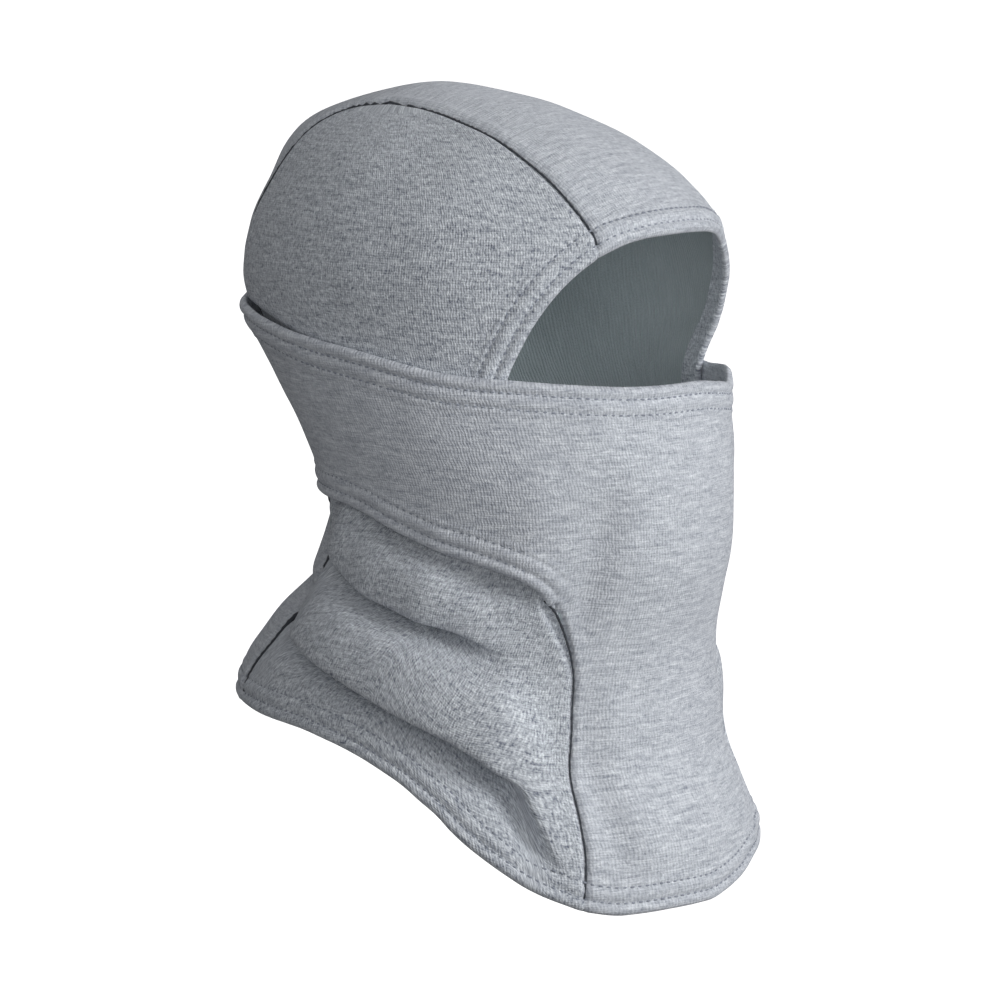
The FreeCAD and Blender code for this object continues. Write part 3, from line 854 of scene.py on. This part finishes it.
def bendy(ob, w):
    """Bake the piece's transform into its mesh. The weights w are not used."""
    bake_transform(ob)
    return ob


def vertex_follow(ob, kind):
    co = np.zeros(len(ob.data.vertices) * 3)
    ob.data.vertices.foreach_get("co", co)
    return follow(co.reshape(-1, 3) / MM, kind)


# --------------------------------------------------------------------- panels
THICK, LIN = 1.6, 0.7
KD_PTS, KD_NRM = [], []


def build_panel(name, skin, kind, free, seams, waves=1.0, mat=None, lining=None, mirror=False):
    P, Q, UV = skin.P.copy(), skin.Q, skin.UV.copy()
    if mirror:
        P[:, 0] *= -1
        Q = Q[:, ::-1]
        UV[:, 0] *= -1
    N = normals(P, Q)
    c = P.copy()
    c[:, 0] = 0
    c[:, 1] = 5
    if ((P - c) * N).sum() < 0:
        Q = Q[:, ::-1]
        N = -N
    B = P.copy()
    D = cloth_waves(B, N, waves)
    if kind == "hood":
        D = D + fold_field(B, N) + seat_seam(B, N) + tuck(B, N)
    else:
        D = D + mask_shape(B, N)
    D = D + spread(B)
    o, i = np.zeros(len(P)), np.zeros(len(P))
    nearest = np.full(len(P), 1e9)
    for line in free:
        d, s = edge_distance(B, line)
        oo, ii = free_edge(d, s, THICK)
        on = smooth(128, 146, B[:, 2]) if line is OPENING else 1.0
        o += oo * on
        i += ii * on
        nearest = np.minimum(nearest, d + 40 * (1 - on))
    for line in seams:
        d, s = edge_distance(B, line)
        oo, ii = seam_edge(d, B, name.startswith("centre"))
        calm = smooth(1.5, 5.0, nearest) * 0.75 + 0.25
        o += oo * calm
        i += ii
    M = B + D
    if skin.grid is not None:
        # the knit keeps its scale where the folds take up more cloth
        more = arc(M[skin.grid], 0) - arc(B[skin.grid], 0)
        more = more[-1] - more
        UV[:, 1] -= more.reshape(-1)[skin.first]
    N2 = normals(M, Q)
    outer = M + N2 * o[:, None]
    inner = M + N2 * (i - THICK)[:, None]
    ob = shell(P, Q, outer, inner, name, UV)
    ob.data.materials.append(mat)
    KD_PTS.append(outer)
    KD_NRM.append(N2)
    pieces_ = [ob]
    if lining:
        sunk = 1 - smooth(6.6, 7.8, nearest)
        lo_top = -THICK - 0.02 + 0.75 * sunk
        lo_bot = -THICK - LIN + 0.95 * sunk
        lob = shell(P, Q, M + N2 * lo_top[:, None], M + N2 * lo_bot[:, None], lining, UV)
        lob.data.materials.append(lining_mat)
        pieces_.append(lob)
    for p in pieces_:
        bendy(p, vertex_follow(p, kind))
    return pieces_


right, right_lin = build_panel("side_panel_right_cloth", side_skin(-1), "hood", [OPENING, HEM_LINE], [STRIP_Rt, line_bib(-1, "hood")],
                               mat=knit_side, lining="side_lining_right_cloth", mirror=True)
left, left_lin = build_panel("side_panel_left_cloth", side_skin(1), "hood", [OPENING, HEM_LINE], [STRIP_L, line_bib(1, "hood")],
                             mat=knit_side, lining="side_lining_left_cloth")
strip, strip_lin = build_panel("centre_strip_cloth", strip_skin(), "hood", [OPENING, HEM_LINE], [STRIP_L, STRIP_Rt],
                               mat=knit_front, lining="centre_lining_cloth")
tee, tee_lin = build_panel("tee_panel_cloth", tee_skin(), "tee", [TOP_LINE, LOW_LINE, HEM_LINE], [BIB_L, BIB_R],
                           mat=knit_front, lining="tee_lining_cloth")

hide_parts("side_panel_right")
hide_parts("side_panel_left")
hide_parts("centre_strip")
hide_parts("bib_panel", "mask_panel", "nape_loop")
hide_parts("side_lining_right")
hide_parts("side_lining_left")
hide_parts("centre_lining")
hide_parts("bib_lining", "mask_lining", "nape_lining")

# --------------------------------------------------------- stitches and seams
PTS, NRM = np.concatenate(KD_PTS), np.concatenate(KD_NRM)
OWN = np.concatenate([np.full(len(p), k) for k, p in enumerate(KD_PTS)])
TREES = {}


def tree_of(owners):
    if owners not in TREES:
        ids = np.nonzero(np.isin(OWN, owners))[0]
        kd = kdtree.KDTree(len(ids))
        for j in ids:
            kd.insert(PTS[j], int(j))
        kd.balance()
        TREES[owners] = kd
    return TREES[owners]


def lie_on(P, owners, sink):
    kd = tree_of(owners)
    out, nn = np.zeros_like(P), np.zeros_like(P)
    for k, p in enumerate(P):
        hits = kd.find_n(p, 4)
        w = np.array([1 / (h[2] + 0.05) for h in hits])
        w /= w.sum()
        q = sum(wi * PTS[h[1]] for wi, h in zip(w, hits))
        n = sum(wi * NRM[h[1]] for wi, h in zip(w, hits))
        n /= np.linalg.norm(n)
        out[k] = p - n * ((p - q) @ n) + n * sink
        nn[k] = n
    return out, nn


def resample(L, step):
    seg = np.linalg.norm(np.diff(L, axis=0), axis=1)
    s = np.concatenate([[0], np.cumsum(seg)])
    n = max(int(round(s[-1] / step)), 2)
    ss = np.linspace(0, s[-1], n + 1)
    return np.stack([np.interp(ss, s, L[:, k]) for k in range(3)], -1)


def inward(L, kind, inner_hint):
    """Direction along the cloth away from the edge line."""
    T = np.gradient(L, axis=0)
    T /= np.linalg.norm(T, axis=1, keepdims=True)
    e = 0.5
    a, b, c = dims(L[:, 2], kind)
    gx = np.sign(L[:, 0]) * np.abs(L[:, 0] / a) ** (NEXP - 1) / a
    gy = np.sign(L[:, 1] - c) * np.abs((L[:, 1] - c) / b) ** (NEXP - 1) / b
    a2, b2, c2 = dims(L[:, 2] + e, kind)
    g1 = np.abs(L[:, 0] / a) ** NEXP + np.abs((L[:, 1] - c) / b) ** NEXP
    g2 = np.abs(L[:, 0] / a2) ** NEXP + np.abs((L[:, 1] - c2) / b2) ** NEXP
    n = np.stack([gx, gy, (g2 - g1) / e / NEXP], -1)
    n /= np.linalg.norm(n, axis=1, keepdims=True)
    I = np.cross(n, T)
    I /= np.linalg.norm(I, axis=1, keepdims=True)
    if (I * (inner_hint - L)).sum() < 0:
        I = -I
    return I


def needle_row(L, kind, d, hint, owners, pitch=3.3, keep=None, sink=-0.10):
    """Middle points and normals of the stitches of one row."""
    I = inward(L, kind, hint)
    R = L + I * d
    # iron out the path where the edge turns sharply
    for _ in range(6):
        R[1:-1] = 0.5 * R[1:-1] + 0.25 * (R[:-2] + R[2:])
    R = resample(R, pitch)
    if keep is not None:
        R = R[keep(R)]
    return lie_on(R, owners, sink) if len(R) else (R, R)


def capsules(name, rows_, length=2.0, radius=0.42):
    """One mesh of short rounded threads laid end to end."""
    ring, stations = 8, [(-1.0, 0.0), (-0.93, 0.5), (-0.7, 0.86), (-0.3, 1.0), (0.3, 1.0), (0.7, 0.86), (0.93, 0.5), (1.0, 0.0)]
    V, F = [], []
    for Pm, Nm in rows_:
        if len(Pm) < 2:
            continue
        T = np.gradient(Pm, axis=0)
        gaps = np.linalg.norm(np.diff(Pm, axis=0), axis=1)
        for k in range(len(Pm)):
            if k and gaps[k - 1] > 8 or k < len(gaps) and gaps[k] > 8:
                continue
            t = T[k] / max(np.linalg.norm(T[k]), 1e-9)
            n = Nm[k] - t * (Nm[k] @ t)
            n /= np.linalg.norm(n)
            s = np.cross(t, n)
            yaw = 0.10 * math.sin(k * 12.9898)
            t, s = t * math.cos(yaw) + s * math.sin(yaw), s * math.cos(yaw) - t * math.sin(yaw)
            base = len(V)
            half = length / 2 * (1 + 0.06 * math.sin(k * 4.1))
            for a, r in stations[1:-1]:
                for m in range(ring):
                    w = 2 * math.pi * m / ring
                    dip = -0.30 * abs(a) ** 2.2
                    V.append(Pm[k] + t * a * half + s * math.cos(w) * r * radius + n * (math.sin(w) * r * radius * 0.8 + dip))
            p0, p1 = len(V), len(V) + 1
            V.append(Pm[k] - t * half - n * 0.32)
            V.append(Pm[k] + t * half - n * 0.32)
            for j in range(len(stations) - 3):
                for m in range(ring):
                    F.append((base + j * ring + m, base + j * ring + (m + 1) % ring,
                              base + (j + 1) * ring + (m + 1) % ring, base + (j + 1) * ring + m))
            last = base + (len(stations) - 3) * ring
            for m in range(ring):
                F.append((p0, base + (m + 1) % ring, base + m))
                F.append((p1, last + m, last + (m + 1) % ring))
    me = bpy.data.meshes.new(name)
    me.from_pydata((np.array(V) * MM).tolist(), [], F)
    me.shade_smooth()
    bm = bmesh.new()
    bm.from_mesh(me)
    bmesh.ops.recalc_face_normals(bm, faces=bm.faces)
    bm.to_mesh(me)
    bm.free()
    ob = bpy.data.objects.new(name, me)
    bpy.context.scene.collection.objects.link(ob)
    return ob


def cord_tube(name, paths, radius=0.5, ring=8):
    V, F = [], []
    for Pm, Nm in paths:
        T = np.gradient(Pm, axis=0)
        base = len(V)
        n_ = len(Pm)
        low, corner, crown = seam_pull(Pm)
        # partly painted shade: the dark cord is made thicker at the nape, the wing's corner and behind the crown,
        # standing in for the shade in the deeper seam grooves there
        swell = 1 + 1.0 * low + 0.45 * corner + 0.30 * crown
        for k in range(n_):
            t = T[k] / max(np.linalg.norm(T[k]), 1e-9)
            n = Nm[k] - t * (Nm[k] @ t)
            n /= np.linalg.norm(n)
            s = np.cross(t, n)
            r = radius * swell[k] * (1 + 0.18 * math.sin(k * 2 * math.pi / 3))
            for m in range(ring):
                w = 2 * math.pi * m / ring
                V.append(Pm[k] + (s * math.cos(w) + n * math.sin(w)) * r)
        for k in range(n_ - 1):
            for m in range(ring):
                F.append((base + k * ring + m, base + k * ring + (m + 1) % ring,
                          base + (k + 1) * ring + (m + 1) % ring, base + (k + 1) * ring + m))
        F.append(tuple(base + m for m in range(ring)))
        F.append(tuple(base + (n_ - 1) * ring + m for m in range(ring))[::-1])
    me = bpy.data.meshes.new(name)
    me.from_pydata((np.array(V) * MM).tolist(), [], F)
    me.shade_smooth()
    bm = bmesh.new()
    bm.from_mesh(me)
    bmesh.ops.recalc_face_normals(bm, faces=bm.faces)
    bm.to_mesh(me)
    bm.free()
    ob = bpy.data.objects.new(name, me)
    bpy.context.scene.collection.objects.link(ob)
    return ob


HOOD, TEE, ALL_LOW = (0, 1, 2), (3,), (0, 1, 2, 3)
up = np.array([0, 0, 1.0])
shown = lambda R: R[:, 2] > 142
open_l = resample(OPENING, 1.5)
open_in = open_l + np.stack([np.sign(open_l[:, 0]) * 10, np.full(len(open_l), 10.0), np.full(len(open_l), 8.0)], -1)
eye = [needle_row(open_l, "hood", d, open_in, HOOD, keep=shown) for d in (4.5, 10.5)]
hem_l = resample(HEM_LINE, 1.5)
hem_rows = [needle_row(hem_l, "hood", d, hem_l + up * 10, ALL_LOW) for d in (4.5, 10.5)]
top_l = resample(TOP_LINE, 1.5)
low_l = resample(LOW_LINE, 1.5)
front_half = lambda R: R[:, 1] < 40
rear_half = lambda R: R[:, 1] >= 40
top_front = [needle_row(top_l, "tee", d, top_l - up * 10, TEE, keep=front_half) for d in (4.5, 10.5)]
top_rear = [needle_row(np.roll(top_l, len(top_l) // 2, 0)[1:], "tee", d, np.roll(top_l, len(top_l) // 2, 0)[1:] - up * 10,
                       TEE, keep=rear_half) for d in (4.5, 10.5)]
low_right = [needle_row(low_l, "tee", d, low_l + up * 10, TEE, keep=lambda R: (R[:, 1] < 40) & (R[:, 0] < 0) & (R[:, 1] > -60.5)) for d in (4.5, 10.5)]
low_left = [needle_row(low_l, "tee", d, low_l + up * 10, TEE, keep=lambda R: (R[:, 1] < 40) & (R[:, 0] > 0) & (R[:, 1] > -60.5)) for d in (4.5, 10.5)]
low_rear = [needle_row(low_l, "tee", d, low_l + up * 10, TEE, keep=rear_half) for d in (4.5, 10.5)]

made = []
for name, rows_, node, kind in (
        ("eye_hem_threads", eye, "eye_hem_stitching", "hood"),
        ("bottom_hem_threads", hem_rows, "bottom_hem_stitching", "hood"),
        ("mask_top_threads", top_front, "mask_top_stitching", "tee"),
        ("wing_hem_threads_right", low_right, "wing_hem_stitching_right", "tee"),
        ("wing_hem_threads_left", low_left, "wing_hem_stitching_left", "tee"),
        ("nape_loop_threads", top_rear + low_rear, "nape_loop_stitching", "tee")):
    ob = capsules(name, rows_)
    ob.data.materials.append(thread_mat)
    bendy(ob, vertex_follow(ob, kind))
    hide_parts(node)
    made.append(ob)

for name, line, node, owners, kind, cutz in (
        ("crown_seam_thread_right", STRIP_Rt, "crown_seam_right", HOOD, "hood", 2),
        ("crown_seam_thread_left", STRIP_L, "crown_seam_left", HOOD, "hood", 2),
        ("front_seam_thread_right", BIB_R, "front_seam_right", ALL_LOW, "tee", 1),
        ("front_seam_thread_left", BIB_L, "front_seam_left", ALL_LOW, "tee", 1)):
    L = resample(line, 1.2)
    if kind == "hood":
        L = L[4:-4]
        P_, N_ = lie_on(L, owners, 0.05)
        P_ = P_ + N_ * (0.45 * seam_pull(P_)[2])[:, None]
    else:
        # at the top a dark cord runs on a little way under the wing's hem, where no seam is sewn: it is painted shadow
        # under the hem
        wing = LOW_LINE[LOW_LINE[:, 1] < -30]
        wing = wing[np.sign(wing[:, 0]) == np.sign(line[0, 0])]
        wing = wing[np.argsort(wing[:, 2])]
        run = resample(wing, 1.2)[1:10] * np.array([0.985, 0.985, 1.0])
        P_, N_ = lie_on(L[4:-1], owners, -0.10)
        N2_ = np.repeat(N_[-1:], len(run), 0)
        P_, N_ = np.concatenate([P_, run]), np.concatenate([N_, N2_])
        for _ in range(8):
            P_[-16:-1] = 0.5 * P_[-16:-1] + 0.25 * (P_[-17:-2] + P_[-15:])
    ob = cord_tube(name, [(P_, N_)], radius=0.46 if kind == "hood" else 0.36)
    ob.data.materials.append(seam_mat)
    bendy(ob, vertex_follow(ob, kind))
    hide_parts(node)
    made.append(ob)


def area_of(skin):
    P, Q = skin.P, skin.Q
    a, b, c, d = (P[Q[:, k]] for k in range(4))
    return float(0.5 * np.linalg.norm(np.cross(c - a, d - b), axis=1).sum()) * MM * MM


# --------------------------------------------------------------------- stage
floor = bpy.data.meshes.new("floor")
n = 40
pts, fcs = [], []
for k in range(n + 1):
    s = k / n
    if s < 0.5:
        p = (-3.0 + 8.0 * s, -0.20)
    else:
        w = (s - 0.5) / 0.5 * math.pi / 2
        p = (1.0 + 1.6 * math.sin(w), -0.20 + 1.6 * (1 - math.cos(w)))
    pts.append(p)
pts.append((2.6, 4.5))
V = []
for depth, h in pts:
    for wdt in (-5, 5):
        V.append((wdt, depth, h))
for k in range(len(pts) - 1):
    fcs.append((2 * k, 2 * k + 1, 2 * k + 3, 2 * k + 2))
floor.from_pydata(V, [], fcs)
floor.shade_smooth()
stage = bpy.data.objects.new("floor", floor)
bpy.context.scene.collection.objects.link(stage)
AZ = math.radians(-53)
stage.rotation_euler = (0, 0, AZ)
fm = bpy.data.materials.new("pale_floor")
fm.use_nodes = True
fb = fm.node_tree.nodes["Principled BSDF"]
fb.inputs["Base Color"].default_value = (0.90, 0.90, 0.90, 1)
fb.inputs["Emission Color"].default_value = (1, 1, 1, 1)
fb.inputs["Emission Strength"].default_value = 0.85
fb.inputs["Roughness"].default_value = 1.0
fb.inputs["Specular IOR Level"].default_value = 0.0
floor.materials.append(fm)
stage.visible_diffuse = False
stage.visible_glossy = False

world = bpy.data.worlds.new("studio")
bpy.context.scene.world = world
world.use_nodes = True
bg = world.node_tree.nodes["Background"]
bg.inputs[0].default_value = (1, 1, 1, 1)
bg.inputs[1].default_value = 0.115


def area_light(name, az, el, dist, size, power, aim=(0, 0, 0.16)):
    d = bpy.data.lights.new(name, "AREA")
    d.shape = "DISK"
    d.size = size
    d.energy = power
    o = bpy.data.objects.new(name, d)
    a, e = math.radians(az), math.radians(el)
    v = Vector((math.sin(a) * math.cos(e), -math.cos(a) * math.cos(e), math.sin(e)))
    o.location = Vector(aim) + v * dist
    o.rotation_mode = "QUATERNION"
    o.rotation_quaternion = v.to_track_quat("Z", "Y")
    bpy.context.scene.collection.objects.link(o)
    return o


area_light("key_face", 0, 15, 1.9, 0.9, 19.0)
area_light("side_left", 50, 20, 1.9, 0.8, 9.0)
area_light("top", 0, 85, 1.9, 1.2, 2.4)
area_light("back_right", -110, 35, 1.9, 1.2, 1.6)
area_light("low_right", -50, 5, 1.9, 1.2, 8.6)
area_light("key_right", -30, 30, 1.9, 1.0, 2.6)
area_light("back_left", 150, 40, 1.9, 1.2, 3.6)
glow = bpy.data.lights.new("hood_fill", "POINT")
glow.energy = 0.032
glow.shadow_soft_size = 0.03
glow_o = bpy.data.objects.new("hood_fill", glow)
glow_o.location = (0.0, -0.005, 0.225)
glow_o.visible_camera = False
bpy.context.scene.collection.objects.link(glow_o)

cam_d = bpy.data.cameras.new("camera")
cam = bpy.data.objects.new("camera", cam_d)
bpy.context.scene.collection.objects.link(cam)
TH, EL, DIST = math.radians(53), math.radians(8), 1.6
look = Vector((math.sin(TH) * math.cos(EL), math.cos(TH) * math.cos(EL), -math.sin(EL)))
cam.location = Vector((0, 0, 0.146)) - look * DIST
cam.rotation_mode = "QUATERNION"
cam.rotation_quaternion = (-look).to_track_quat("Z", "Y")
cam_d.sensor_width = 36
cam_d.lens = 36 * 1600 / 397.0
bpy.context.scene.camera = cam
bpy.context.scene.view_settings.view_transform = "Standard"
